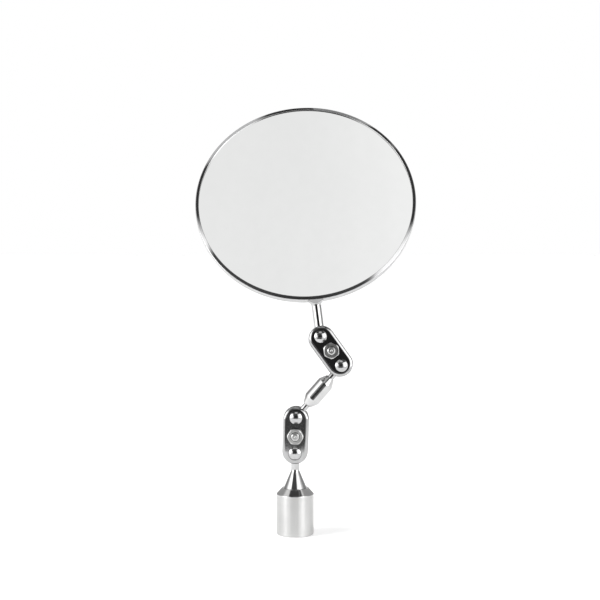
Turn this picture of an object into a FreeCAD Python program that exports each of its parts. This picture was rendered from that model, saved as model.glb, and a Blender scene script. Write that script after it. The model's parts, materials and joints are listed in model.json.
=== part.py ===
"""Round mirror on a double ball-joint arm, with a socket for an extending handle.

Millimetres, +Z up. The origin is the centre of the socket's mouth. The arm stands in one posture: from the
base ball up through the lower clamp, the link, the upper clamp and the mirror's stem to the disc.
"""

import FreeCAD, Part
import math
import os

V = FreeCAD.Vector

# ---- base socket and stud ----
BORE_R = 6.0                    # takes the end of the extending handle
SOCKET_WALL = 1.0
SOCKET_HEIGHT = 17.4            # from the mouth to the flat land on top
SOCKET_SHOULDER_HEIGHT = 2.2    # of the cone between the straight side and the land
SOCKET_FOOT_BEVEL = 0.3
SOCKET_WEB = 1.6                # solid left between the bore and the tenon's hole
TENON_R = 2.0
TENON_LENGTH = 4.5
TENON_END_GAP = 0.3
STUD_FOOT_R = 4.3
STUD_FOOT_MARGIN = 0.65         # land left round the stud's foot
STUD_CONE_HEIGHT = 6.4
STUD_R = 1.53
STUD_NECK = 6.7                 # from the top of the cone to the ball's centre

# ---- balls and their stems ----
BALL_R = 3.75
SPIGOT_R = 1.0
SPIGOT_PAST_CENTRE = 1.0
SPIGOT_END_GAP = 0.2
SPIGOT_CLEARANCE = 0.02         # running fit of a spigot in its ball
SHOULDER_GAP = 0.05             # between a stem's shoulder and the ball's flat

# ---- clamps: two plates with a screw through the middle ----
BALL_SPACING = 13.2
PLATE_BESIDE_SEAT = 1.56        # plate left at each side of a ball's seat
PLATE_PAST_SEAT = 0.76          # plate left at the end, past a ball's seat
PLATE_THICKNESS = 0.95
PLATE_EDGE_FLAT = 0.15          # straight edge left under the rounded one
STEM_SIDE_CLEARANCE = 0.25      # the thickest stem passes between the plates with this much each side
SEAT_CLEARANCE = 0.04
SCREW_R = 1.48
SCREW_HOLE_CLEARANCE = 0.17
SCREW_HEAD_R = 2.8
SCREW_HEAD_HEIGHT = 1.9
SCREW_HEAD_ROUND = 0.8
SLOT_WIDTH = 0.8
SLOT_DEPTH = 0.9
SCREW_TIP_OUT = 0.7             # how far the screw stands out of its nut
SCREW_TIP_BEVEL = 0.35
SCREW_DIMPLE_R = 0.45
SCREW_DIMPLE_DEPTH = 0.3
NUT_ACROSS_FLATS = 5.5
NUT_HEIGHT = 2.3
NUT_CORNER_BEVEL = 0.35

# ---- link between the clamps ----
LINK_LENGTH = 25.3              # from ball centre to ball centre
LINK_ROD_R = 1.2
BARREL_R = 3.1
BARREL_LENGTH = 7.6             # of the straight middle
BARREL_CONE_LENGTH = 2.9
BARREL_NECK_WALL = 0.4          # round the rod, at the cone's small end
BARREL_BORE_DEPTH = 3.5

# ---- mirror head ----
STEM_R = 1.8
STEM_LENGTH = 13.45             # from the ball's centre to the rim's wall
STEM_FLARE_R = 3.0
STEM_FLARE_LENGTH = 1.9
STEM_BEHIND_MIDDLE = 0.3        # the stem meets the wall this far behind its middle
STEM_FACET_BEHIND_FRONT = 0.35  # flat on the flare, this far behind the rim's front
RIM_R = 42.55
RIM_WALL = 0.7
RIM_LIP_WIDTH = 1.35            # of the bright ring in front of the glass
RIM_LIP = 0.5
RIM_CORNER_ROUND = 0.35
RIM_REAR_ROLL = 0.3
RIM_REAR_ROLL_WIDTH = 1.5
GLASS_THICKNESS = 1.3
PAD_THICKNESS = 0.3
COVER_THICKNESS = 0.6
DISC_CLEARANCE = 0.05           # glass and cover inside the rim's wall
PAD_INSET = 0.3

# ---- posture, in degrees: how far each piece leans to the right and back, and how its front is turned ----
LOWER_CLAMP = dict(right=1.6, back=0.0, turn=-1.7)
LINK = dict(right=41.2, back=2.2, turn=0.0)
UPPER_CLAMP = dict(right=-35.9, back=5.0, turn=5.5)
STEM = dict(right=-7.2, back=8.0, turn=0.0)
DISC = dict(right=-5.7, back=28.4, turn=0.9)

# ---- derived values ----
UP = V(0, 0, 1)
FRONT = V(0, -1, 0)

SOCKET_R = BORE_R + SOCKET_WALL
SOCKET_LAND_R = STUD_FOOT_R + STUD_FOOT_MARGIN
BORE_DEPTH = SOCKET_HEIGHT - TENON_LENGTH - TENON_END_GAP - SOCKET_WEB
BASE_BALL_HEIGHT = SOCKET_HEIGHT + STUD_CONE_HEIGHT + STUD_NECK

PLATE_INSIDE = max(STEM_R, STUD_R, LINK_ROD_R) + STEM_SIDE_CLEARANCE    # inner face, from the clamp's middle
CLAMP_OUTSIDE = PLATE_INSIDE + PLATE_THICKNESS
SEAT_R = BALL_R + SEAT_CLEARANCE
SEAT_EDGE_R = math.sqrt(SEAT_R ** 2 - PLATE_INSIDE ** 2)
PLATE_HALF_WIDTH = SEAT_EDGE_R + PLATE_BESIDE_SEAT
PLATE_PAST_BALL = SEAT_EDGE_R + PLATE_PAST_SEAT

BARREL_LOW = LINK_LENGTH / 2 - BARREL_LENGTH / 2 - BARREL_CONE_LENGTH
BARREL_HIGH = LINK_LENGTH - BARREL_LOW

RIM_DEPTH = RIM_LIP + GLASS_THICKNESS + PAD_THICKNESS + COVER_THICKNESS + RIM_REAR_ROLL
RIM_FRONT = RIM_DEPTH / 2
RIM_INNER_R = RIM_R - RIM_WALL
GLASS_FRONT = RIM_FRONT - RIM_LIP
GLASS_BACK = GLASS_FRONT - GLASS_THICKNESS
PAD_BACK = GLASS_BACK - PAD_THICKNESS
COVER_BACK = PAD_BACK - COVER_THICKNESS


def lean(right, back, turn):
    """A rotation that leans +Z to the right and back, with the piece's front kept as near -Y as it can be."""
    r, b = math.radians(right), math.radians(back)
    axis = V(math.sin(r) * math.cos(b), math.sin(b), math.cos(r) * math.cos(b))
    front = FRONT - axis * FRONT.dot(axis)
    front.normalize()
    side = axis.cross(front)
    m = FreeCAD.Matrix(side.x, -front.x, axis.x, 0,
                       side.y, -front.y, axis.y, 0,
                       side.z, -front.z, axis.z, 0,
                       0, 0, 0, 1)
    return FreeCAD.Rotation(m) * FreeCAD.Rotation(UP, turn)


def place(shape, at, rotation):
    moved = shape.copy()
    moved.Placement = FreeCAD.Placement(at, rotation) * moved.Placement
    return moved


def turned(points):
    """A solid turned about Z from an (r, z) outline; a third item is the middle of an arc that ends there."""
    edges = []
    last = V(points[0][0], 0, points[0][1])
    for point in points[1:] + points[:1]:
        here = V(point[0], 0, point[1])
        if len(point) > 2:
            edges.append(Part.Arc(last, V(point[2][0], 0, point[2][1]), here).toShape())
        else:
            edges.append(Part.LineSegment(last, here).toShape())
        last = here
    face = Part.Face(Part.Wire(edges))
    return face.revolve(V(0, 0, 0), UP, 360)


def rod(radius, low, high):
    return Part.makeCylinder(radius, high - low, V(0, 0, low))


# ---- balls: the stem comes up +Z from the ball's centre ----
def ball_flat(stem_r):
    """Height of the flat that a stem's shoulder faces."""
    return math.sqrt(BALL_R ** 2 - stem_r ** 2)


def make_ball(stem_r):
    ball = Part.makeSphere(BALL_R)
    flat = ball_flat(stem_r)
    ball = ball.cut(Part.makeBox(2 * BALL_R, 2 * BALL_R, BALL_R, V(-BALL_R, -BALL_R, flat)))
    hole = rod(SPIGOT_R + SPIGOT_CLEARANCE, -SPIGOT_PAST_CENTRE - SPIGOT_END_GAP, BALL_R)
    return ball.cut(hole)


def make_stem(stem_r, top):
    """A plain stem with the spigot that goes into its ball."""
    shoulder = ball_flat(stem_r) + SHOULDER_GAP
    return turned([
        (0, -SPIGOT_PAST_CENTRE),
        (SPIGOT_R, -SPIGOT_PAST_CENTRE),
        (SPIGOT_R, shoulder),
        (stem_r, shoulder),
        (stem_r, top),
        (0, top),
    ])


# ---- base ----
def make_socket():
    body = turned([
        (0, 0),
        (SOCKET_R - SOCKET_FOOT_BEVEL, 0),
        (SOCKET_R, SOCKET_FOOT_BEVEL),
        (SOCKET_R, SOCKET_HEIGHT - SOCKET_SHOULDER_HEIGHT),
        (SOCKET_LAND_R, SOCKET_HEIGHT),
        (0, SOCKET_HEIGHT),
    ])
    bore = rod(BORE_R, 0, BORE_DEPTH)
    tenon_hole = rod(TENON_R, BORE_DEPTH + SOCKET_WEB, SOCKET_HEIGHT)
    return body.cut(bore).cut(tenon_hole)


def make_stud():
    """Modelled from the socket's mouth up; its spigot points up into the base ball."""
    cone_top = SOCKET_HEIGHT + STUD_CONE_HEIGHT
    shoulder = BASE_BALL_HEIGHT - ball_flat(STUD_R) - SHOULDER_GAP
    spigot_top = BASE_BALL_HEIGHT + SPIGOT_PAST_CENTRE
    return turned([
        (0, SOCKET_HEIGHT - TENON_LENGTH),
        (TENON_R, SOCKET_HEIGHT - TENON_LENGTH),
        (TENON_R, SOCKET_HEIGHT),
        (STUD_FOOT_R, SOCKET_HEIGHT),
        (STUD_R, cone_top),
        (STUD_R, shoulder),
        (SPIGOT_R, shoulder),
        (SPIGOT_R, spigot_top),
        (0, spigot_top),
    ])


# ---- clamps: long axis +Z from the lower ball's seat to the upper one, front face towards -Y ----
def along_front(shape):
    """Lay a piece made along +Z on the clamp's screw axis, pointing to the front."""
    shape.rotate(V(0, 0, 0), V(1, 0, 0), 90)
    shape.translate(V(0, 0, BALL_SPACING / 2))
    return shape


def plate_blank():
    """The front plate before its seats are cut, with the outer edge rounded."""
    half = PLATE_HALF_WIDTH
    low = half - PLATE_PAST_BALL
    high = BALL_SPACING - low
    y = -PLATE_INSIDE
    outline = Part.Wire([
        Part.LineSegment(V(half, y, low), V(half, y, high)).toShape(),
        Part.Arc(V(half, y, high), V(0, y, high + half), V(-half, y, high)).toShape(),
        Part.LineSegment(V(-half, y, high), V(-half, y, low)).toShape(),
        Part.Arc(V(-half, y, low), V(0, y, low - half), V(half, y, low)).toShape(),
    ])
    blank = Part.Face(outline).extrude(FRONT * PLATE_THICKNESS)
    outer = [edge for edge in blank.Edges if edge.BoundBox.YMax < -CLAMP_OUTSIDE + PLATE_EDGE_FLAT]
    return blank.makeFillet(PLATE_THICKNESS - PLATE_EDGE_FLAT, outer)


def make_plate():
    plate = plate_blank()
    for height in (0, BALL_SPACING):
        plate = plate.cut(Part.makeSphere(SEAT_R, V(0, 0, height)))
    hole = along_front(rod(SCREW_R + SCREW_HOLE_CLEARANCE, 0, 2 * CLAMP_OUTSIDE))
    return plate.cut(hole)


def make_rear_plate():
    plate = make_plate()
    plate.rotate(V(0, 0, 0), UP, 180)
    return plate


def make_screw():
    """Head behind the rear plate, tip in front of the nut; made along +Z, then laid along the front."""
    tip = CLAMP_OUTSIDE + NUT_HEIGHT + SCREW_TIP_OUT
    head_top = -CLAMP_OUTSIDE - SCREW_HEAD_HEIGHT
    bend = SCREW_HEAD_ROUND * (1 - math.sqrt(0.5))
    screw = turned([
        (0, head_top),
        (SCREW_HEAD_R - SCREW_HEAD_ROUND, head_top),
        (SCREW_HEAD_R, head_top + SCREW_HEAD_ROUND, (SCREW_HEAD_R - bend, head_top + bend)),
        (SCREW_HEAD_R, -CLAMP_OUTSIDE),
        (SCREW_R, -CLAMP_OUTSIDE),
        (SCREW_R, tip - SCREW_TIP_BEVEL),
        (SCREW_R - SCREW_TIP_BEVEL, tip),
        (SCREW_DIMPLE_R, tip),
        (0, tip - SCREW_DIMPLE_DEPTH),
    ])
    slot = Part.makeBox(SLOT_WIDTH, 2 * SCREW_HEAD_R, SLOT_DEPTH, V(-SLOT_WIDTH / 2, -SCREW_HEAD_R, head_top))
    return along_front(screw.cut(slot))


def make_nut():
    corner_r = NUT_ACROSS_FLATS / 2 / math.cos(math.pi / 6)
    corners = [V(corner_r * math.cos(k * math.pi / 3), corner_r * math.sin(k * math.pi / 3), CLAMP_OUTSIDE)
               for k in range(7)]
    prism = Part.Face(Part.makePolygon(corners)).extrude(UP * NUT_HEIGHT)
    bevel_rise = NUT_CORNER_BEVEL * math.tan(math.pi / 6)
    top = CLAMP_OUTSIDE + NUT_HEIGHT
    rounding = turned([
        (0, CLAMP_OUTSIDE),
        (corner_r - NUT_CORNER_BEVEL, CLAMP_OUTSIDE),
        (corner_r, CLAMP_OUTSIDE + bevel_rise),
        (corner_r, top - bevel_rise),
        (corner_r - NUT_CORNER_BEVEL, top),
        (0, top),
    ])
    return along_front(prism.common(rounding).cut(rod(SCREW_R, CLAMP_OUTSIDE, top)))


# ---- link: +Z from the lower ball to the upper one ----
def make_barrel():
    neck_r = LINK_ROD_R + BARREL_NECK_WALL
    barrel = turned([
        (0, BARREL_LOW),
        (neck_r, BARREL_LOW),
        (BARREL_R, BARREL_LOW + BARREL_CONE_LENGTH),
        (BARREL_R, BARREL_HIGH - BARREL_CONE_LENGTH),
        (neck_r, BARREL_HIGH),
        (0, BARREL_HIGH),
    ])
    for low in (BARREL_LOW, BARREL_HIGH - BARREL_BORE_DEPTH):
        barrel = barrel.cut(rod(LINK_ROD_R, low, low + BARREL_BORE_DEPTH))
    return barrel


def make_link_rod():
    """The rod on the lower ball, which ends at the bottom of the barrel's bore."""
    return make_stem(LINK_ROD_R, BARREL_LOW + BARREL_BORE_DEPTH)


def other_end(shape):
    """The same piece on the link's upper ball, pointing down."""
    flipped = shape.copy()
    flipped.rotate(V(0, 0, 0), V(1, 0, 0), 180)
    flipped.translate(V(0, 0, LINK_LENGTH))
    return flipped


# ---- mirror disc: centre at the origin, front face towards -Y, stem below ----
def face_forward(shape):
    """Turn a disc made about +Z so that it faces -Y."""
    shape.rotate(V(0, 0, 0), V(1, 0, 0), 90)
    return shape


def make_rim():
    opening_r = RIM_R - RIM_LIP_WIDTH
    bend = RIM_CORNER_ROUND * (1 - math.sqrt(0.5))
    return face_forward(turned([
        (opening_r, RIM_FRONT),
        (RIM_R - RIM_CORNER_ROUND, RIM_FRONT),
        (RIM_R, RIM_FRONT - RIM_CORNER_ROUND, (RIM_R - bend, RIM_FRONT - bend)),
        (RIM_R, -RIM_FRONT + RIM_CORNER_ROUND),
        (RIM_R - RIM_CORNER_ROUND, -RIM_FRONT, (RIM_R - bend, -RIM_FRONT + bend)),
        (RIM_R - RIM_REAR_ROLL_WIDTH, -RIM_FRONT),
        (RIM_R - RIM_REAR_ROLL_WIDTH, COVER_BACK),
        (RIM_INNER_R, COVER_BACK),
        (RIM_INNER_R, GLASS_FRONT),
        (opening_r, GLASS_FRONT),
    ]))


def make_layer(radius, back, front):
    return face_forward(rod(radius, back, front))


def make_flare(reach):
    """The stem's foot on the wall, which widens in an arc that starts along the stem."""
    start = STEM_LENGTH - STEM_FLARE_LENGTH
    grow = STEM_FLARE_R - STEM_R
    arc_r = (STEM_FLARE_LENGTH ** 2 + grow ** 2) / (2 * grow)
    half_turn = math.asin(STEM_FLARE_LENGTH / arc_r) / 2
    middle = (STEM_R + arc_r * (1 - math.cos(half_turn)), start + arc_r * math.sin(half_turn))
    return turned([
        (0, start),
        (STEM_R, start),
        (STEM_FLARE_R, STEM_LENGTH, middle),
        (STEM_FLARE_R, reach),
        (0, reach),
    ])


def make_mirror_stem(ball_at, disc_at, disc_turn):
    """Stem from the mirror ball to the rim's wall, in place; its flare is cut to sit on the wall."""
    reach = STEM_LENGTH + STEM_R
    stem = place(make_stem(STEM_R, reach), ball_at, lean(**STEM))
    flare = place(make_flare(reach), ball_at, lean(**STEM))
    size = 4 * STEM_LENGTH
    low = -RIM_R - size / 2
    behind = STEM_BEHIND_MIDDLE + STEM_R / math.cos(math.radians(DISC["back"] - STEM["back"]))
    before = -RIM_FRONT + STEM_FACET_BEHIND_FRONT
    rear = Part.makeBox(size, size, size, V(-size / 2, behind, low))
    front = Part.makeBox(size, size, size, V(-size / 2, before - size, low))
    wall = face_forward(rod(RIM_R, -size, size))
    rear, front, wall = (place(block, disc_at, disc_turn) for block in (rear, front, wall))
    return stem.fuse(flare.cut(rear)).cut(front).cut(wall).removeSplitter()


# ---- put the arm together from the base up ----
def axis_of(posture):
    return lean(**posture).multVec(UP)


base_ball_at = V(0, 0, BASE_BALL_HEIGHT)
link_lower_ball_at = base_ball_at + axis_of(LOWER_CLAMP) * BALL_SPACING
link_upper_ball_at = link_lower_ball_at + axis_of(LINK) * LINK_LENGTH
mirror_ball_at = link_upper_ball_at + axis_of(UPPER_CLAMP) * BALL_SPACING
disc_turn = lean(**DISC)
stem_foot_at = mirror_ball_at + axis_of(STEM) * STEM_LENGTH
disc_at = stem_foot_at + disc_turn.multVec(UP) * RIM_R + disc_turn.multVec(FRONT) * STEM_BEHIND_MIDDLE

nodes = {}
nodes["base_socket"] = make_socket()
nodes["base_stud"] = make_stud()
nodes["base_ball"] = place(make_ball(STUD_R), base_ball_at, FreeCAD.Rotation(V(1, 0, 0), 180))

for name, posture, at in (("lower", LOWER_CLAMP, base_ball_at), ("upper", UPPER_CLAMP, link_upper_ball_at)):
    rotation = lean(**posture)
    nodes[name + "_front_plate"] = place(make_plate(), at, rotation)
    nodes[name + "_rear_plate"] = place(make_rear_plate(), at, rotation)
    nodes[name + "_clamp_screw"] = place(make_screw(), at, rotation)
    nodes[name + "_clamp_nut"] = place(make_nut(), at, rotation)

link_turn = lean(**LINK)
nodes["link_lower_ball"] = place(make_ball(LINK_ROD_R), link_lower_ball_at, link_turn)
nodes["link_lower_rod"] = place(make_link_rod(), link_lower_ball_at, link_turn)
nodes["link_barrel"] = place(make_barrel(), link_lower_ball_at, link_turn)
nodes["link_upper_rod"] = place(other_end(make_link_rod()), link_lower_ball_at, link_turn)
nodes["link_upper_ball"] = place(other_end(make_ball(LINK_ROD_R)), link_lower_ball_at, link_turn)

nodes["mirror_ball"] = place(make_ball(STEM_R), mirror_ball_at, lean(**STEM))
nodes["mirror_stem"] = make_mirror_stem(mirror_ball_at, disc_at, disc_turn)
nodes["mirror_rim"] = place(make_rim(), disc_at, disc_turn)
disc_r = RIM_INNER_R - DISC_CLEARANCE
nodes["mirror_glass"] = place(make_layer(disc_r, GLASS_BACK, GLASS_FRONT), disc_at, disc_turn)
nodes["mirror_pad"] = place(make_layer(disc_r - PAD_INSET, PAD_BACK, GLASS_BACK), disc_at, disc_turn)
nodes["mirror_back_cover"] = place(make_layer(disc_r, COVER_BACK, PAD_BACK), disc_at, disc_turn)

os.makedirs("parts", exist_ok=True)
for name, shape in nodes.items():
    shape.exportStep(os.path.join("parts", name + ".step"))
    state = "valid" if shape.isValid() else "INVALID"
    print(name, len(shape.Solids), "solid", round(shape.Volume, 2), "mm3", state)

centres = {
    "base_ball": base_ball_at,
    "link_lower_ball": link_lower_ball_at,
    "link_upper_ball": link_upper_ball_at,
    "mirror_ball": mirror_ball_at,
    "disc": disc_at,
}
postures = {
    "lower_clamp": LOWER_CLAMP,
    "link": LINK,
    "upper_clamp": UPPER_CLAMP,
    "stem": STEM,
    "disc": DISC,
}
for name, at in centres.items():
    print("centre", name, *(round(c, 5) for c in at))
for name, posture in postures.items():
    turn = lean(**posture)
    print("axis", name, *(round(c, 7) for c in turn.multVec(UP)))
    print("front", name, *(round(c, 7) for c in turn.multVec(FRONT)))
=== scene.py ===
"""Round mirror on a double ball-joint arm, standing on the socket for its handle.

Lengths are millimetres in each piece's own axes, and placed() takes them to the frame's metres.
"""

import json
import math

import bmesh
import bpy
from mathutils import Matrix, Vector


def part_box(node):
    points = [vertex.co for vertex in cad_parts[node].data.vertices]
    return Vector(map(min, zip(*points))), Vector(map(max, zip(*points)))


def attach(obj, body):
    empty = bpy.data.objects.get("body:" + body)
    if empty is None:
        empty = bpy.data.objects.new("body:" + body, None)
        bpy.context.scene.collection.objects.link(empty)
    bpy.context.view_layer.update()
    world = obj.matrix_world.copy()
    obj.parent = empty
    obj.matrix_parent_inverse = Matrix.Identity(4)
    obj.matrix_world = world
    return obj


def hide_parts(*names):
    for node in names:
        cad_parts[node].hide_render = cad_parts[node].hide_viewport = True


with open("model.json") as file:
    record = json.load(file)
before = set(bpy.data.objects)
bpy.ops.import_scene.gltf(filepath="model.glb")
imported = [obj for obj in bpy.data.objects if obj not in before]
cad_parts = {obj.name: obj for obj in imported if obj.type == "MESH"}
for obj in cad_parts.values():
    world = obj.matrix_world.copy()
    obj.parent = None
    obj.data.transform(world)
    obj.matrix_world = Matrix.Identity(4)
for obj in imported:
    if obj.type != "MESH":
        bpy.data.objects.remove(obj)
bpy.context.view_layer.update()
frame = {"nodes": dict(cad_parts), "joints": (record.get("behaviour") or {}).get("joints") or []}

MM = 0.001
UP = Vector((0, 0, 1))
TURNS = 96                      # steps round a small turned piece
RIM_TURNS = 256
HOLE_TURNS = 72
THREAD_STEPS = 36               # steps in one turn of the thread
ROUND_STEPS = 6                 # steps across a rounded corner
SHARP = math.radians(28)        # edges that turn further than this stay crisp
SAME_PLACE = 1e-4               # points nearer than this are one point
ON_PLANE = 1e-5
NEAR = 0.01                     # how near a surface a face or point is, to count as on it
FINE_EDGE = 0.08                # roundings of a piece's edges, from fine to soft
THIN_EDGE = 0.1
CRISP_EDGE = 0.12
EDGE = 0.15
SOFT_EDGE = 0.2

# ---- socket and stud ----
SOCKET_R = 7.0
BORE_R = 6.0
BORE_DEPTH = 11.0
BORE_ROUND = 0.3
SOCKET_FOOT_ROUND = 0.42
SOCKET_HEIGHT = 17.4
SHOULDER_HEIGHT = 15.2
SHOULDER_REACH = 0.1            # the polish reaches this far below the shoulder's edge
LAND_R = 4.95
TENON_R = 2.0
TENON_FOOT = 12.9
TENON_PLAY = 0.3                # gap under the tenon in its hole
STUD_FOOT_R = 4.3
STUD_CONE_TOP = 23.8
STUD_CONE_ROUND = 0.5
NECK_FROM_CONE = 0.6            # the neck's two extra rings: above the cone
NECK_FROM_BALL = 0.2            # and below the ball's shoulder
STUD_R = 1.53

# ---- balls ----
BALL_R = 3.75
SPIGOT_R = 1.0
SPIGOT_PAST_CENTRE = 1.0
SPIGOT_HOLE = 1.2
SPIGOT_PLAY = 0.02
BALL_TO_SHOULDER = 0.05         # how far a stem's shoulder stands off its ball's flat

# ---- clamps ----
PLATE_INSIDE = 2.05
PLATE_OUTSIDE = 3.0
PLATE_ROUND = 0.8
PLATE_ROUND_WIDTH = 1.5         # the rounded edge is wider than it is deep
PLATE_HALF = 4.7485
PLATE_ARC_IN = 0.8              # how far each end's arc centre is inside the ball's centre
SEAT_R = 3.79
SEAT_LIP = 0.06
SCREW_HOLE_R = 1.65
SCREW_R = 1.48
THREAD_CORE_R = 1.2
THREAD_PITCH = 0.5
THREAD_TURNS = 17
THREAD_BURIED = 0.03            # how far the ridge's foot is inside the core
THREAD_FOOT = 0.97              # the foot's width as a share of the pitch
SCREW_HEAD_R = 2.8
SCREW_HEAD_TOP = -4.9
SCREW_HEAD_ROUND = 0.8
SLOT_HALF = 0.4
SLOT_DEPTH = 0.9
SCREW_TIP = 6.0
SCREW_TIP_R = 0.45              # the middle of the tip is pressed in from here
SCREW_TIP_PIT = 0.3
NUT_TOP = 5.3
NUT_HALF_FLATS = 2.75
NUT_CORNER_R = 3.1754
NUT_FACE_R = 2.62
NUT_ROUND_R = 2.99              # the corners are rounded off to this radius
NUT_HOLE_R = 1.5
NUT_COUNTERSINK = 0.25
NUT_CHAMFER = math.radians(30)

# ---- link ----
ROD_R = 1.2
ROD_TOP = 9.25
BARREL_LOW = 5.95
BARREL_CONE = 2.9
BARREL_STRAIGHT = 7.6
BARREL_R = 3.1
BARREL_NECK_R = 1.6
BARREL_BORE = 3.5

# ---- mirror head ----
STEM_R = 1.8
STEM_LENGTH = 13.45
FLARE_R = 3.0
FLARE_LENGTH = 1.9
FLARE_STEPS = 10
FLARE_SKIRT = 0.6
STEM_BEHIND_MIDDLE = 0.3
FACET_BEHIND_FRONT = 0.35
RIM_R = 42.55
RIM_WALL = 0.7
RIM_LIP_WIDTH = 1.35
RIM_REAR_ROLL_WIDTH = 1.5
RIM_FRONT = 1.5
LIP_FALL = 0.38                 # the lip's front slopes outwards by 16 degrees
RIM_SIDE_ROUND = 0.25
RIM_REAR_ROUND = 0.35
PAD_EDGE = 0.05
IN_WALL = 0.05                  # the stem's foot ends this far inside the rim's wall
GLASS_FRONT = 1.0
GLASS_BACK = -0.3
PAD_BACK = -0.6
COVER_BACK = -1.2
DISC_R = 41.8
PAD_R = 41.5


# ---- places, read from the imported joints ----
joints = {joint["name"]: joint for joint in frame["joints"]}


def joint_at(name):
    return Vector(joints[name]["pos_m"])


def joint_axis(name):
    return Vector(joints[name]["axis"]).normalized()


def placed(origin, axis, upward=UP):
    """Takes a piece's millimetres, Z along axis and Y as near upward as it can be, to the frame's metres."""
    z = axis.normalized()
    x = upward.cross(z)
    if x.length < 1e-6:
        x = Vector((1, 0, 0))
    x.normalize()
    turn = Matrix((x, z.cross(x), z)).transposed().to_4x4()
    return Matrix.Translation(origin) @ turn @ Matrix.Scale(MM, 4)


base_ball_at = joint_at("base_twist")
link_low_at = joint_at("link_lower_twist")
link_high_at = joint_at("link_upper_swing")
mirror_ball_at = joint_at("mirror_twist")
link_axis = joint_axis("link_lower_twist")
stem_axis = joint_axis("mirror_twist")
clamps = {
    "lower": (base_ball_at, link_low_at, joint_axis("base_swing")),
    "upper": (link_high_at, mirror_ball_at, joint_axis("link_upper_swing")),
}

glass_faces = frame["nodes"]["mirror_glass"].data.polygons
disc_front = max(glass_faces, key=lambda face: face.area).normal.copy()
if disc_front.y > 0:
    disc_front.negate()
glass_low, glass_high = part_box("mirror_glass")
disc_at = (glass_low + glass_high) / 2 - disc_front * (GLASS_FRONT + GLASS_BACK) / 2 * MM
disc_axes = placed(disc_at, disc_front)


# ---- shaping ----
def draw_line(bm, points, closed=False):
    """A line in the XZ plane through (radius, height) points; a third number rounds off that corner."""
    corners = [bm.verts.new((point[0], 0, point[1])) for point in points]
    for here, there in zip(corners, corners[1:]):
        bm.edges.new((here, there))
    if closed:
        bm.edges.new((corners[-1], corners[0]))
    for corner, point in zip(corners, points):
        if len(point) > 2:
            bmesh.ops.bevel(bm, geom=[corner], offset=point[2], offset_type="OFFSET", affect="VERTICES",
                            segments=ROUND_STEPS, profile=0.5, material=-1)


def tidy(bm):
    bmesh.ops.remove_doubles(bm, verts=bm.verts[:], dist=SAME_PLACE)
    bmesh.ops.recalc_face_normals(bm, faces=bm.faces[:])


def turn_round(bm, steps):
    """Turns the line in bm right round Z: an eighth is spun, then copied and turned until it closes."""
    angle = math.tau / 8
    bmesh.ops.spin(bm, geom=bm.verts[:] + bm.edges[:], cent=(0, 0, 0), axis=(0, 0, 1), dvec=(0, 0, 0),
                   angle=angle, steps=steps // 8, use_merge=False, use_normal_flip=False, use_duplicate=False)
    for share in (1, 2, 4):
        copied = bmesh.ops.duplicate(bm, geom=bm.verts[:] + bm.edges[:] + bm.faces[:])["geom"]
        verts = [item for item in copied if isinstance(item, bmesh.types.BMVert)]
        bmesh.ops.rotate(bm, verts=verts, cent=(0, 0, 0), matrix=Matrix.Rotation(angle * share, 3, "Z"))
    tidy(bm)
    return bm


def turned(points, steps=TURNS, closed=False):
    """A closed piece turned about Z from its outline."""
    bm = bmesh.new()
    draw_line(bm, points, closed)
    return turn_round(bm, steps)


def add_arc(bm, start, centre, angle, steps):
    """An arc in the XZ plane, made by swinging a point about Y through centre; returns its last vertex."""
    swept = bmesh.ops.spin(bm, geom=[bm.verts.new(start)], cent=centre, axis=(0, 1, 0), dvec=(0, 0, 0),
                           angle=angle, steps=steps, use_merge=False, use_normal_flip=False, use_duplicate=False)
    return swept["geom_last"][0]


def join_up(bm, start, points):
    """Carries a line on from the vertex start through (radius, height) points."""
    last = start
    for radius, height in points:
        here = bm.verts.new((radius, 0, height))
        bm.edges.new((last, here))
        last = here


def make_ball(stem_r):
    """Bored for the stem's spigot, with a flat round the bore."""
    bm = bmesh.new()
    flat = math.sqrt(BALL_R ** 2 - stem_r ** 2)
    reach = math.pi - math.asin(stem_r / BALL_R)
    edge = add_arc(bm, (0, 0, -BALL_R), (0, 0, 0), -reach, TURNS // 2)
    bore = SPIGOT_R + SPIGOT_PLAY
    join_up(bm, edge, [(bore, flat), (bore, -SPIGOT_HOLE), (0, -SPIGOT_HOLE)])
    return turn_round(bm, TURNS)


def add_copy(bm, other, move):
    """Adds another bmesh's shape to bm, moved."""
    before = set(bm.verts)
    mesh = bpy.data.meshes.new("copy")
    other.to_mesh(mesh)
    bm.from_mesh(mesh)
    bpy.data.meshes.remove(mesh)
    bmesh.ops.translate(bm, verts=[v for v in bm.verts if v not in before], vec=move)


def shoulder_of(stem_r):
    return math.sqrt(BALL_R ** 2 - stem_r ** 2) + BALL_TO_SHOULDER


def make_rod():
    """One end of the link, up from its ball's centre."""
    return turned([
        (0, -SPIGOT_PAST_CENTRE),
        (SPIGOT_R, -SPIGOT_PAST_CENTRE, EDGE),
        (SPIGOT_R, shoulder_of(ROD_R)),
        (ROD_R, shoulder_of(ROD_R), FINE_EDGE),
        (ROD_R, ROD_TOP, EDGE),
        (0, ROD_TOP),
    ])


def make_barrel():
    high = BARREL_LOW + 2 * BARREL_CONE + BARREL_STRAIGHT
    return turned([
        (0, BARREL_LOW + BARREL_BORE),
        (ROD_R, BARREL_LOW + BARREL_BORE),
        (ROD_R, BARREL_LOW, FINE_EDGE),
        (BARREL_NECK_R, BARREL_LOW, THIN_EDGE),
        (BARREL_R, BARREL_LOW + BARREL_CONE, CRISP_EDGE),
        (BARREL_R, high - BARREL_CONE, CRISP_EDGE),
        (BARREL_NECK_R, high, THIN_EDGE),
        (ROD_R, high, FINE_EDGE),
        (ROD_R, high - BARREL_BORE),
        (0, high - BARREL_BORE),
    ])


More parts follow.
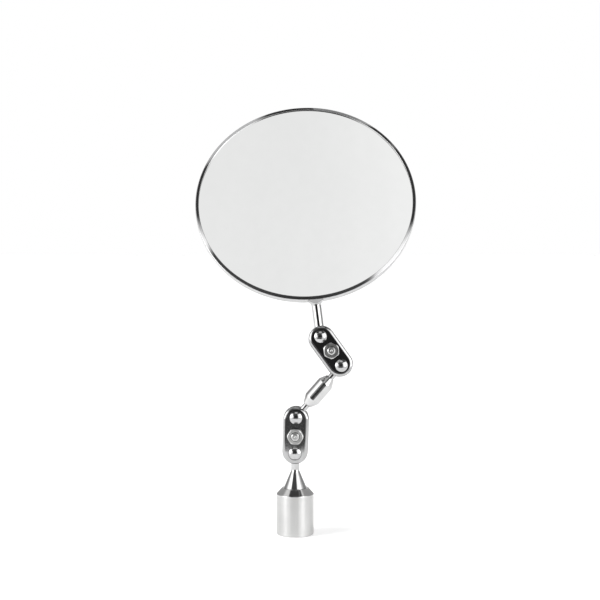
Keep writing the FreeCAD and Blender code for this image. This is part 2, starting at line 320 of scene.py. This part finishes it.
def make_socket():
    return turned([
        (0, BORE_DEPTH),
        (BORE_R, BORE_DEPTH, BORE_ROUND),
        (BORE_R, 0, EDGE),
        (SOCKET_R, 0, SOCKET_FOOT_ROUND),
        (SOCKET_R, SHOULDER_HEIGHT, CRISP_EDGE),
        (LAND_R, SOCKET_HEIGHT, CRISP_EDGE),
        (TENON_R, SOCKET_HEIGHT, THIN_EDGE),
        (TENON_R, TENON_FOOT - TENON_PLAY),
        (0, TENON_FOOT - TENON_PLAY),
    ])


def make_stud():
    """From the tenon in the socket up to the spigot in the base ball; two extra rings keep the neck straight."""
    ball_height = base_ball_at.z / MM
    neck_top = ball_height - shoulder_of(STUD_R)
    return turned([
        (0, TENON_FOOT),
        (TENON_R, TENON_FOOT, SOFT_EDGE),
        (TENON_R, SOCKET_HEIGHT),
        (STUD_FOOT_R, SOCKET_HEIGHT, CRISP_EDGE),
        (STUD_R, STUD_CONE_TOP, STUD_CONE_ROUND),
        (STUD_R, STUD_CONE_TOP + NECK_FROM_CONE),
        (STUD_R, neck_top - NECK_FROM_BALL),
        (STUD_R, neck_top, FINE_EDGE),
        (SPIGOT_R, neck_top),
        (SPIGOT_R, ball_height + SPIGOT_PAST_CENTRE, EDGE),
        (0, ball_height + SPIGOT_PAST_CENTRE),
    ])


def swing(bm, geom, centre, angle, steps):
    """Sweeps geom about Z through centre and returns where it ends."""
    swept = bmesh.ops.spin(bm, geom=geom, cent=centre, axis=(0, 0, 1), dvec=(0, 0, 0), angle=angle,
                           steps=steps, use_merge=False, use_normal_flip=False, use_duplicate=False)
    return swept["geom_last"]


def draw_out(bm, geom, way):
    """Extrudes a line's edges and moves the new line, which is returned."""
    edges = [item for item in geom if isinstance(item, bmesh.types.BMEdge)]
    new = bmesh.ops.extrude_edge_only(bm, edges=edges)["geom"]
    verts = [item for item in new if isinstance(item, bmesh.types.BMVert)]
    bmesh.ops.translate(bm, verts=verts, vec=way)
    kept = [item for item in new
            if isinstance(item, bmesh.types.BMEdge) and all(v in verts for v in item.verts)]
    return verts + kept


def edges_at(bm, height):
    """Open edges that lie in the plane Z = height."""
    return [edge for edge in bm.edges
            if edge.is_boundary and all(abs(v.co.z - height) < SAME_PLACE for v in edge.verts)]


def make_plate(spacing):
    """One clamp plate, face up: a rounded rim, a seat at each ball and a hole between them, then both faces."""
    bm = bmesh.new()
    straight = spacing - 2 * PLATE_ARC_IN
    low = Vector((0, PLATE_ARC_IN, 0))
    high = low + Vector((0, straight, 0))
    draw_line(bm, [
        (PLATE_HALF, PLATE_INSIDE),
        (PLATE_HALF, PLATE_OUTSIDE, PLATE_ROUND),
        (PLATE_HALF - PLATE_ROUND, PLATE_OUTSIDE),
    ])
    from_edge = Matrix.Translation((PLATE_HALF, 0, 0))
    widen = from_edge @ Matrix.Diagonal((PLATE_ROUND_WIDTH / PLATE_ROUND, 1, 1, 1)) @ from_edge.inverted()
    bmesh.ops.transform(bm, matrix=widen, verts=bm.verts[:])
    bmesh.ops.translate(bm, verts=bm.verts[:], vec=low)
    side = bm.verts[:] + bm.edges[:]
    side = draw_out(bm, side, high - low)
    side = swing(bm, side, high, math.pi, TURNS // 2)
    side = draw_out(bm, side, low - high)
    swing(bm, side, low, math.pi, TURNS // 2)

    seat = bmesh.new()
    wide = math.asin(PLATE_INSIDE / SEAT_R)
    narrow = math.asin((PLATE_OUTSIDE - SEAT_LIP) / SEAT_R)
    last = add_arc(seat, (SEAT_R * math.cos(wide), 0, PLATE_INSIDE), (0, 0, 0), wide - narrow, ROUND_STEPS)
    join_up(seat, last, [(last.co.x + SEAT_LIP, PLATE_OUTSIDE)])
    turn_round(seat, HOLE_TURNS)
    hole = turned([(SCREW_HOLE_R, PLATE_INSIDE), (SCREW_HOLE_R, PLATE_OUTSIDE)], HOLE_TURNS)
    for wall, height in ((seat, 0), (seat, spacing), (hole, spacing / 2)):
        add_copy(bm, wall, (0, height, 0))

    bmesh.ops.remove_doubles(bm, verts=bm.verts[:], dist=SAME_PLACE)
    for height in (PLATE_INSIDE, PLATE_OUTSIDE):
        bmesh.ops.triangle_fill(bm, edges=edges_at(bm, height), use_beauty=True, normal=(0, 0, 1))
    tidy(bm)
    return bm


def make_nut():
    """Turned as a round, then its wall is moved in to six flats, which the chamfers cut into arches."""
    slope = math.tan(NUT_CHAMFER)
    rise = (NUT_CORNER_R - NUT_FACE_R) * slope
    bm = turned([
        (NUT_HOLE_R, PLATE_OUTSIDE + NUT_COUNTERSINK),
        (NUT_HOLE_R + NUT_COUNTERSINK, PLATE_OUTSIDE),
        (NUT_FACE_R, PLATE_OUTSIDE),
        (NUT_CORNER_R, PLATE_OUTSIDE + rise),
        (NUT_CORNER_R, NUT_TOP - rise),
        (NUT_FACE_R, NUT_TOP),
        (NUT_HOLE_R + NUT_COUNTERSINK, NUT_TOP),
        (NUT_HOLE_R, NUT_TOP - NUT_COUNTERSINK),
    ], TURNS, closed=True)
    middle = (PLATE_OUTSIDE + NUT_TOP) / 2
    for v in bm.verts:
        radius = v.co.xy.length
        if radius > NUT_FACE_R + NEAR:
            turn = math.atan2(v.co.y, v.co.x) % (math.pi / 3) - math.pi / 6
            wall = min(NUT_HALF_FLATS / math.cos(turn), NUT_ROUND_R)
            drop = (NUT_CORNER_R - wall) * slope
            v.co.xy *= wall / radius
            v.co.z += drop if v.co.z > middle else -drop
    tidy(bm)
    return bm


def cut_slot(bm):
    """Cuts the slot across the head: the strip over it goes, then its walls and its floor are filled in."""
    floor_height = SCREW_HEAD_TOP + SLOT_DEPTH
    across = Vector((1, 0, 0))
    for at, way in ((across * SLOT_HALF, across), (-across * SLOT_HALF, across), (UP * floor_height, UP)):
        bmesh.ops.bisect_plane(bm, geom=bm.verts[:] + bm.edges[:] + bm.faces[:], dist=ON_PLANE, plane_co=at,
                               plane_no=way, use_snap_center=False, clear_outer=False, clear_inner=False)
    strip = []
    for face in bm.faces:
        centre = face.calc_center_median()
        if abs(centre.x) < SLOT_HALF and centre.z < floor_height:
            strip.append(face)
    bmesh.ops.delete(bm, geom=strip, context="FACES")
    bottoms = []
    for wall in (SLOT_HALF, -SLOT_HALF):
        rim = [edge for edge in bm.edges
               if edge.is_boundary and all(abs(v.co.x - wall) < SAME_PLACE for v in edge.verts)]
        ends = [v for edge in rim for v in edge.verts if abs(v.co.z - floor_height) < SAME_PLACE]
        bottom = bm.edges.new((ends[0], ends[1]))
        bottoms.append(bottom)
        bmesh.ops.triangle_fill(bm, edges=rim + [bottom], use_beauty=True, normal=across)
    sides = [edge for edge in edges_at(bm, floor_height) if edge not in bottoms]
    bmesh.ops.triangle_fill(bm, edges=sides + bottoms, use_beauty=True, normal=UP)


def wind_thread(turns):
    """A sharp ridge wound upwards from height 0, closed at both ends: one turn is spun, then copied."""
    bm = bmesh.new()
    buried = THREAD_CORE_R - THREAD_BURIED
    corners = [
        bm.verts.new((buried, 0, 0)),
        bm.verts.new((SCREW_R, 0, THREAD_PITCH / 2)),
        bm.verts.new((buried, 0, THREAD_PITCH * THREAD_FOOT)),
    ]
    edges = [bm.edges.new((corners[k], corners[k - 1])) for k in range(3)]
    bmesh.ops.spin(bm, geom=corners + edges, cent=(0, 0, 0), axis=(0, 0, 1),
                   dvec=(0, 0, THREAD_PITCH / THREAD_STEPS), angle=math.tau, steps=THREAD_STEPS,
                   use_merge=False, use_normal_flip=False, use_duplicate=False)
    one = bm.verts[:] + bm.edges[:] + bm.faces[:]
    for turn in range(1, turns):
        copied = bmesh.ops.duplicate(bm, geom=one)["geom"]
        verts = [item for item in copied if isinstance(item, bmesh.types.BMVert)]
        bmesh.ops.translate(bm, verts=verts, vec=(0, 0, THREAD_PITCH * turn))
    bmesh.ops.remove_doubles(bm, verts=bm.verts[:], dist=SAME_PLACE)
    ends = [edge for edge in bm.edges if edge.is_boundary]
    bmesh.ops.edgenet_fill(bm, edges=ends)
    return bm


def make_screw():
    """Slotted round head behind, a core, and the thread wound round it."""
    bm = turned([
        (0, SCREW_HEAD_TOP),
        (SCREW_HEAD_R, SCREW_HEAD_TOP, SCREW_HEAD_ROUND),
        (SCREW_HEAD_R, -PLATE_OUTSIDE, THIN_EDGE),
        (THREAD_CORE_R, -PLATE_OUTSIDE),
        (THREAD_CORE_R, SCREW_TIP, SOFT_EDGE),
        (SCREW_TIP_R, SCREW_TIP),
        (0, SCREW_TIP - SCREW_TIP_PIT),
    ])
    cut_slot(bm)
    add_copy(bm, wind_thread(THREAD_TURNS), (0, 0, -PLATE_OUTSIDE))
    tidy(bm)
    return bm


def make_flared_stem(axes):
    """From the mirror ball up to the rim's wall, where its foot widens and is pressed to the wall's curve."""
    bm = bmesh.new()
    grow = FLARE_R - STEM_R
    arc_r = (FLARE_LENGTH ** 2 + grow ** 2) / (2 * grow)
    start = STEM_LENGTH - FLARE_LENGTH
    reach = STEM_LENGTH + STEM_R
    draw_line(bm, [
        (0, -SPIGOT_PAST_CENTRE),
        (SPIGOT_R, -SPIGOT_PAST_CENTRE, EDGE),
        (SPIGOT_R, shoulder_of(STEM_R)),
        (STEM_R, shoulder_of(STEM_R), FINE_EDGE),
        (STEM_R, start),
    ])
    foot = max((v for v in bm.verts if v.co.x > STEM_R - SAME_PLACE), key=lambda v: v.co.z)
    swing_angle = math.asin(FLARE_LENGTH / arc_r)
    last = add_arc(bm, foot.co, (STEM_R + arc_r, 0, start), swing_angle, FLARE_STEPS)
    join_up(bm, last, [(FLARE_R, STEM_LENGTH + FLARE_SKIRT), (FLARE_R, reach), (0, reach)])
    turn_round(bm, TURNS)
    to_disc = disc_axes.inverted() @ axes
    from_disc = to_disc.inverted()
    behind = -STEM_BEHIND_MIDDLE - STEM_R / to_disc.to_3x3().col[2].normalized().y
    front = RIM_FRONT - FACET_BEHIND_FRONT
    bmesh.ops.transform(bm, matrix=to_disc, verts=bm.verts[:])
    bmesh.ops.bisect_plane(bm, geom=bm.verts[:] + bm.edges[:] + bm.faces[:], dist=ON_PLANE,
                           plane_co=(0, 0, front), plane_no=UP, use_snap_center=False,
                           clear_outer=True, clear_inner=False)
    bmesh.ops.triangle_fill(bm, edges=edges_at(bm, front), use_beauty=True, normal=UP)
    for v in bm.verts:
        if v.co.z < behind and (from_disc @ v.co).z > start:
            v.co.z = behind
        if v.co.xy.length < RIM_R - IN_WALL:
            v.co.xy *= (RIM_R - IN_WALL) / v.co.xy.length
    bmesh.ops.transform(bm, matrix=from_disc, verts=bm.verts[:])
    tidy(bm)
    return bm


# ---- pieces ----
def to_piece(name, bm, matrix, body, nodes, material, weighted=True, second=None, belongs=None):
    """Puts a copy of bm in place as a piece that rides on body and takes the place of nodes.

    Each point keeps its own millimetres and its way round the axis as attributes. The faces for which
    belongs() is true get the second material.
    """
    bm = bm.copy()
    own = bm.verts.layers.float_vector.new("own_mm")
    round_way = bm.verts.layers.float_vector.new("round_way")
    turn = matrix.to_3x3().normalized()
    for face in bm.faces:
        face.material_index = int(bool(second and belongs(face.calc_center_median())))
    for v in bm.verts:
        v[own] = v.co
        v[round_way] = turn @ Vector((-v.co.y, v.co.x, 0)).normalized()
    bmesh.ops.transform(bm, matrix=matrix, verts=bm.verts[:])
    mesh = bpy.data.meshes.new(name)
    bm.to_mesh(mesh)
    mesh.shade_smooth()
    mesh.set_sharp_from_angle(angle=SHARP)
    piece = bpy.data.objects.new(name, mesh)
    bpy.context.scene.collection.objects.link(piece)
    mesh.materials.append(material)
    if second:
        mesh.materials.append(second)
    if weighted:
        flat = piece.modifiers.new("flat_faces", "WEIGHTED_NORMAL")
        flat.keep_sharp = True
        flat.weight = 100
    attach(piece, body)
    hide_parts(*nodes)


# ---- finishes ----
class Wiring:
    """Adds nodes to a tree; a value is a number, a tuple or another node's output."""

    def __init__(self, tree):
        self.tree = tree

    def feed(self, node, values):
        for key, value in dict(values).items():
            if isinstance(value, bpy.types.NodeSocket):
                self.tree.links.new(value, node.inputs[key])
            else:
                node.inputs[key].default_value = value

    def add(self, kind, values=(), **settings):
        node = self.tree.nodes.new(kind)
        for name, value in settings.items():
            setattr(node, name, value)
        self.feed(node, values)
        return node

    def maths(self, operation, *values):
        return self.add("ShaderNodeMath", enumerate(values), operation=operation).outputs[0]

    def spread(self, value, low, high, start=0.3, end=0.7):
        """Stretches start to end, where a noise mostly lies, to low to high."""
        values = {"Value": value, "From Min": start, "From Max": end, "To Min": low, "To Max": high}
        return self.add("ShaderNodeMapRange", values, interpolation_type="SMOOTHSTEP").outputs[0]

    def noise(self, place, scale, detail=2.0):
        values = {"Vector": place, "Scale": scale, "Detail": detail}
        return self.add("ShaderNodeTexNoise", values).outputs["Fac"]

    def own_place(self):
        """The point in the piece's own millimetres."""
        return self.add("ShaderNodeAttribute", attribute_name="own_mm").outputs["Vector"]

    def coloured(self, marks, dark, light):
        values = {"Marks": marks, "Dark": (*dark, 1), "Light": (*light, 1)}
        return self.add("ShaderNodeGroup", values, node_tree=uneven_colour).outputs["Color"]

    def bump(self, height, depth):
        """Raises the surface by height times depth millimetres."""
        values = {"Height": height, "Strength": 1.0, "Distance": depth * MM}
        return self.add("ShaderNodeBump", values).outputs[0]


def new_group(name, inputs, output_kind, output_name):
    tree = bpy.data.node_groups.new(name, "ShaderNodeTree")
    for label, kind, value in inputs:
        socket = tree.interface.new_socket(name=label, in_out="INPUT", socket_type=kind)
        socket.default_value = value
    tree.interface.new_socket(name=output_name, in_out="OUTPUT", socket_type=output_kind)
    wiring = Wiring(tree)
    entry = wiring.add("NodeGroupInput").outputs
    return tree, wiring, entry


def close_group(wiring, value):
    wiring.add("NodeGroupOutput", {0: value})


def make_lathe_marks():
    """Fine rings round the piece's own axis, uneven in width and depth, as a lathe or a belt leaves them."""
    tree, wiring, entry = new_group("lathe_marks", [
        ("Place", "NodeSocketVector", (0, 0, 0)),
        ("Rings per mm", "NodeSocketFloat", 8),
    ], "NodeSocketFloat", "Marks")
    parts = wiring.add("ShaderNodeSeparateXYZ", {0: entry["Place"]}).outputs
    radius = wiring.maths("SQRT", wiring.maths("ADD", wiring.maths("MULTIPLY", parts[0], parts[0]),
                                               wiring.maths("MULTIPLY", parts[1], parts[1])))
    across = wiring.maths("MULTIPLY", radius, entry["Rings per mm"])
    along = wiring.maths("MULTIPLY", parts[2], entry["Rings per mm"])
    place = wiring.add("ShaderNodeCombineXYZ", {0: across, 1: along}).outputs[0]
    fine = wiring.noise(place, 1.0)
    coarse = wiring.noise(place, 0.17)
    close_group(wiring, wiring.maths("ADD", wiring.maths("MULTIPLY", fine, 0.65),
                                     wiring.maths("MULTIPLY", coarse, 0.35)))
    return tree


def make_wipe_marks():
    """Soft streaks with a finer haze between them, as a cloth leaves on plated metal or glass."""
    tree, wiring, entry = new_group("wipe_marks", [
        ("Place", "NodeSocketVector", (0, 0, 0)),
        ("Streaks per mm", "NodeSocketFloat", 0.5),
    ], "NodeSocketFloat", "Marks")
    turned_place = wiring.add("ShaderNodeMapping", {
        "Vector": entry["Place"], "Rotation": (0.3, 0.5, 0.6), "Scale": (1.0, 0.22, 1.0)}).outputs[0]
    streaks = wiring.noise(turned_place, entry["Streaks per mm"], 3.0)
    haze = wiring.noise(entry["Place"], wiring.maths("MULTIPLY", entry["Streaks per mm"], 5.0), 4.0)
    close_group(wiring, wiring.maths("ADD", wiring.maths("MULTIPLY", streaks, 0.7),
                                     wiring.maths("MULTIPLY", haze, 0.3)))
    return tree


def make_uneven_colour():
    """The finish's colour, a little lighter and darker from place to place."""
    tree, wiring, entry = new_group("uneven_colour", [
        ("Marks", "NodeSocketFloat", 0.5),
        ("Dark", "NodeSocketColor", (0.5, 0.5, 0.5, 1)),
        ("Light", "NodeSocketColor", (0.6, 0.6, 0.6, 1)),
    ], "NodeSocketColor", "Color")
    share = wiring.spread(entry["Marks"], 0.0, 1.0)
    mix = wiring.add("ShaderNodeMix", {0: share, 6: entry["Dark"], 7: entry["Light"]}, data_type="RGBA")
    close_group(wiring, mix.outputs[2])
    return tree


lathe_marks = make_lathe_marks()
wipe_marks = make_wipe_marks()
uneven_colour = make_uneven_colour()


def new_material(name):
    material = bpy.data.materials.new(name)
    material.use_nodes = True
    return material, Wiring(material.node_tree), material.node_tree.nodes["Principled BSDF"]


def make_metal(name, dark, light, smooth, rough, streaks=0.5, rings=None, depth=0.0, grain=0.0):
    """Plated metal: wipe marks vary its shine and colour, and rings or grain of depth mm roughen it."""
    material, wiring, shader = new_material(name)
    place = wiring.own_place()
    marks = wiring.add("ShaderNodeGroup", {"Place": place, "Streaks per mm": streaks},
                       node_tree=wipe_marks).outputs["Marks"]
    height = wiring.noise(place, grain) if grain else None
    if rings:
        height = wiring.add("ShaderNodeGroup", {"Place": place, "Rings per mm": rings},
                            node_tree=lathe_marks).outputs["Marks"]
        marks = wiring.maths("MULTIPLY", wiring.maths("ADD", marks, height), 0.5)
    wiring.feed(shader, {
        "Metallic": 1,
        "Base Color": wiring.coloured(marks, dark, light),
        "Roughness": wiring.spread(marks, smooth, rough),
    })
    if depth:
        wiring.feed(shader, {"Normal": wiring.bump(height, depth)})
    return material


# name, dark and light colour, lowest and highest roughness
chrome = make_metal("polished_chrome", (0.46, 0.46, 0.46), (0.52, 0.52, 0.525), 0.02, 0.07,
                    depth=0.0004, grain=3.0)
ball_chrome = make_metal("rubbed_chrome", (0.42, 0.42, 0.42), (0.52, 0.52, 0.525), 0.1, 0.15,
                         depth=0.0008, grain=5.0)
plate_chrome = make_metal("buffed_chrome", (0.39, 0.39, 0.39), (0.45, 0.45, 0.455), 0.05, 0.1,
                          depth=0.0006, grain=6.0)
sleeve_chrome = make_metal("satin_chrome", (0.53, 0.53, 0.53), (0.61, 0.61, 0.61), 0.13, 0.2,
                           rings=9.0, depth=0.0006)
nickel = make_metal("brushed_nickel", (0.5, 0.5, 0.495), (0.57, 0.57, 0.565), 0.2, 0.26,
                    streaks=0.15, rings=7.0, depth=0.0008)
shoulder_nickel = make_metal("turned_nickel", (0.58, 0.58, 0.575), (0.66, 0.66, 0.655), 0.08, 0.14,
                             rings=5.0, depth=0.0015)
unpolished = make_metal("unpolished_nickel", (0.52, 0.52, 0.515), (0.6, 0.6, 0.595), 0.3, 0.42,
                        grain=8.0, depth=0.002)
steel = make_metal("plated_steel", (0.4, 0.4, 0.395), (0.62, 0.62, 0.615), 0.24, 0.36,
                   rings=4.0, depth=0.008)
glass = make_metal("mirror_glass", (0.9, 0.905, 0.9), (0.93, 0.935, 0.93), 0.0, 0.03,
                   streaks=0.05)
# brushed and turned faces blur along their axis, so light falls on them in bands
QUARTER_TURN = 0.25
for finish, stretch in ((nickel, 0.85), (sleeve_chrome, 0.5)):
    wiring = Wiring(finish.node_tree)
    wiring.feed(finish.node_tree.nodes["Principled BSDF"], {
        "Anisotropic": stretch,
        "Anisotropic Rotation": QUARTER_TURN,
        "Tangent": wiring.add("ShaderNodeAttribute", attribute_name="round_way").outputs["Vector"],
    })

foam, wiring, shader = new_material("black_foam")
cells = wiring.add("ShaderNodeTexVoronoi", {"Vector": wiring.own_place(), "Scale": 4.0}).outputs["Distance"]
wiring.feed(shader, {
    "Base Color": wiring.coloured(cells, (0.02, 0.02, 0.02), (0.06, 0.06, 0.06)),
    "Roughness": 0.9,
    "Normal": wiring.bump(cells, 0.05),
})

paper, wiring, shader = new_material("pale_paper")
fibres = wiring.noise(wiring.add("ShaderNodeTexCoord").outputs["Object"], 60.0, 4.0)
wiring.feed(shader, {
    "Base Color": wiring.coloured(fibres, (0.88, 0.88, 0.88), (0.92, 0.92, 0.92)),
    "Roughness": 0.8,
    "Emission Color": (1, 1, 1, 1),
    "Emission Strength": 0.42,
})


# ---- the pieces, each in its place ----
def on_shoulder(at):
    return at.z > SHOULDER_HEIGHT - SHOULDER_REACH and at.xy.length > TENON_R


def on_inside(at):
    return at.z < PLATE_INSIDE + NEAR


base_axes = placed(Vector((0, 0, 0)), UP, Vector((0, 1, 0)))
to_piece("handle_socket", make_socket(), base_axes, "base", ["base_socket"], nickel,
         second=shoulder_nickel, belongs=on_shoulder)
to_piece("cone_stud", make_stud(), base_axes, "base", ["base_stud"], chrome)
to_piece("foot_ball", make_ball(STUD_R), placed(base_ball_at, -UP, Vector((0, 1, 0))), "base_ball",
         ["base_ball"], ball_chrome, weighted=False)
to_piece("link_foot_ball", make_ball(ROD_R), placed(link_low_at, link_axis), "link_lower_ball",
         ["link_lower_ball"], ball_chrome, weighted=False)
to_piece("link_head_ball", make_ball(ROD_R), placed(link_high_at, -link_axis), "link_upper_ball",
         ["link_upper_ball"], ball_chrome, weighted=False)
to_piece("head_ball", make_ball(STEM_R), placed(mirror_ball_at, stem_axis), "mirror_ball",
         ["mirror_ball"], ball_chrome, weighted=False)
to_piece("link_foot_rod", make_rod(), placed(link_low_at, link_axis), "link",
         ["link_lower_rod"], chrome)
to_piece("link_head_rod", make_rod(), placed(link_high_at, -link_axis), "link",
         ["link_upper_rod"], chrome)
to_piece("link_sleeve", make_barrel(), placed(link_low_at, link_axis), "link",
         ["link_barrel"], sleeve_chrome)

plate = make_plate((link_low_at - base_ball_at).length / MM)
nut = make_nut()
screw = make_screw()
for side, (low_ball, high_ball, front) in clamps.items():
    body = side + "_clamp"
    along = high_ball - low_ball
    to_piece(body + "_front", plate, placed(low_ball, front, along), body,
             [side + "_front_plate"], plate_chrome, second=unpolished, belongs=on_inside)
    to_piece(body + "_back", plate, placed(low_ball, -front, along), body,
             [side + "_rear_plate"], plate_chrome, second=unpolished, belongs=on_inside)
    middle = placed(low_ball + along / 2, front, along)
    to_piece(body + "_hex_nut", nut, middle, body, [side + "_clamp_nut"], steel)
    to_piece(body + "_slotted_screw", screw, middle, body, [side + "_clamp_screw"], steel)


# ---- mirror head ----
opening_r = RIM_R - RIM_LIP_WIDTH
rim = turned([
    (opening_r, GLASS_FRONT),
    (opening_r, RIM_FRONT, EDGE),
    (RIM_R, RIM_FRONT - LIP_FALL, RIM_SIDE_ROUND),
    (RIM_R, -RIM_FRONT, RIM_REAR_ROUND),
    (RIM_R - RIM_REAR_ROLL_WIDTH, -RIM_FRONT, THIN_EDGE),
    (RIM_R - RIM_REAR_ROLL_WIDTH, COVER_BACK),
    (RIM_R - RIM_WALL, COVER_BACK),
    (RIM_R - RIM_WALL, GLASS_FRONT),
], RIM_TURNS, closed=True)
to_piece("rim_ring", rim, disc_axes, "mirror", ["mirror_rim"], chrome)


def make_layer(radius, back, front, edge):
    return turned([(0, back), (radius, back, edge), (radius, front, edge), (0, front)], RIM_TURNS)


to_piece("looking_glass", make_layer(DISC_R, GLASS_BACK, GLASS_FRONT, THIN_EDGE), disc_axes, "mirror",
         ["mirror_glass"], glass)
to_piece("foam_layer", make_layer(PAD_R, PAD_BACK, GLASS_BACK, PAD_EDGE), disc_axes, "mirror",
         ["mirror_pad"], foam)
to_piece("back_disc", make_layer(DISC_R, COVER_BACK, PAD_BACK, FINE_EDGE), disc_axes, "mirror",
         ["mirror_back_cover"], nickel)
stem_axes = placed(mirror_ball_at, stem_axis, Vector((0, 1, 0)))
to_piece("flared_stem", make_flared_stem(stem_axes), stem_axes, "mirror",
         ["mirror_stem"], chrome)

# ---- floor, a sheet of paper that ends in front of the part ----
FLOOR_HALF_WIDTH = 4.0
FLOOR_HALF_DEPTH = 3.0
FLOOR_FRONT = -0.19

floor_bm = bmesh.new()
bmesh.ops.create_grid(floor_bm, x_segments=1, y_segments=1, size=1)
bmesh.ops.scale(floor_bm, verts=floor_bm.verts[:], vec=(FLOOR_HALF_WIDTH, FLOOR_HALF_DEPTH, 1))
bmesh.ops.translate(floor_bm, verts=floor_bm.verts[:], vec=(0, FLOOR_HALF_DEPTH + FLOOR_FRONT, 0))
floor_mesh = bpy.data.meshes.new("floor")
floor_bm.to_mesh(floor_mesh)
floor_bm.free()
floor = bpy.data.objects.new("floor", floor_mesh)
bpy.context.scene.collection.objects.link(floor)
floor_mesh.materials.append(paper)

# ---- camera ----
LENS = 77.04                    # millimetres, as the sensor's width
SENSOR = 36
CAMERA_AT = (0.00179, -0.473296, 0.112)
CAMERA_TILT = math.radians(87)

camera_data = bpy.data.cameras.new("camera")
camera_data.lens = LENS
camera_data.sensor_width = SENSOR
camera = bpy.data.objects.new("camera", camera_data)
camera.location = CAMERA_AT
camera.rotation_euler = (CAMERA_TILT, 0, 0)
bpy.context.scene.collection.objects.link(camera)
bpy.context.scene.camera = camera
bpy.context.scene.view_settings.view_transform = "Standard"

# ---- key light, which only casts the soft shadow ----
KEY_POWER = 6.0
KEY_SIZE = 0.35
KEY_AT = Vector((-0.75, -0.3, 0.65))
KEY_AIM = Vector((0, 0, 0.05))

key_data = bpy.data.lights.new("key", "AREA")
key_data.energy = KEY_POWER
key_data.size = KEY_SIZE
key = bpy.data.objects.new("key", key_data)
key.location = KEY_AT
key.rotation_euler = (KEY_AT - KEY_AIM).to_track_quat("Z", "Y").to_euler()
key.visible_glossy = False
key.visible_camera = False
bpy.context.scene.collection.objects.link(key)

# ---- studio: pale all round, with softboxes at the sides and dark screens in front and above ----
world = bpy.data.worlds.new("studio")
bpy.context.scene.world = world
world.use_nodes = True
world.node_tree.nodes.clear()
sky = Wiring(world.node_tree)


def window(angle, low, high, soft):
    """1 where the angle is between low and high, with soft edges."""
    rises = sky.spread(angle, 0.0, 1.0, low - soft, low + soft)
    falls = sky.spread(angle, 1.0, 0.0, high - soft, high + soft)
    return sky.maths("MULTIPLY", rises, falls)


direction = sky.add("ShaderNodeTexCoord").outputs["Generated"]
parts = sky.add("ShaderNodeSeparateXYZ", {0: direction}).outputs
azimuth = sky.maths("DEGREES", sky.maths("ARCTAN2", parts["X"], sky.maths("MULTIPLY", parts["Y"], -1)))
elevation = sky.maths("DEGREES", sky.maths("ARCSINE", parts["Z"]))

SURROUND = 0.95
PATCHES = [
    # azimuth from and to (0 is towards the camera, 90 is +X), elevation from and to, softness, brightness;
    # all but the last are in degrees, and a later patch lies over an earlier one
    (95, 180.1, 0, 50, 8, 0.42),
    (-180.1, -105, 0, 50, 8, 0.42),
    (-92, -34, -2, 42, 4, 1.95),
    (22, 76, -2, 42, 4, 1.95),
    (-28, 22, -3, 26, 3, 0.03),
    (-42, 20, 22, 44, 3, 0.1),
    (-74, -52, -2, 30, 4, 4.6),
    (38, 60, -2, 30, 4, 4.6),
    (76, 180.1, 43, 100, 4, 0.42),
    (-76, 76, 40, 72, 3, 0.87),
    (0, 90, 46, 80, 7, 0.965),
    (-72, -26, 43, 72, 2, 0.06),
    (26, 78, 43, 68, 2, 0.06),
    (-30, 30, 40, 49, 2, 0.06),
    (-67, 84, 68, 100, 2, 0.06),
    (-180.1, 84, 77, 100, 2, 0.06),
    (-36, 18, -60, -3, 3, 0.1),
]
light = SURROUND
for az_low, az_high, el_low, el_high, soft, bright in PATCHES:
    mask = sky.maths("MULTIPLY", window(azimuth, az_low, az_high, soft),
                     window(elevation, el_low, el_high, soft))
    rest = sky.maths("MULTIPLY", sky.maths("SUBTRACT", 1.0, mask), light)
    light = sky.maths("MULTIPLY_ADD", mask, bright, rest)

seen = sky.add("ShaderNodeLightPath").outputs["Is Camera Ray"]
strength = sky.maths("MULTIPLY_ADD", light, sky.maths("SUBTRACT", 1.0, seen), seen)
background = sky.add("ShaderNodeBackground", {"Color": (1, 1, 1, 1), "Strength": strength})
sky.add("ShaderNodeOutputWorld", {"Surface": background.outputs[0]})
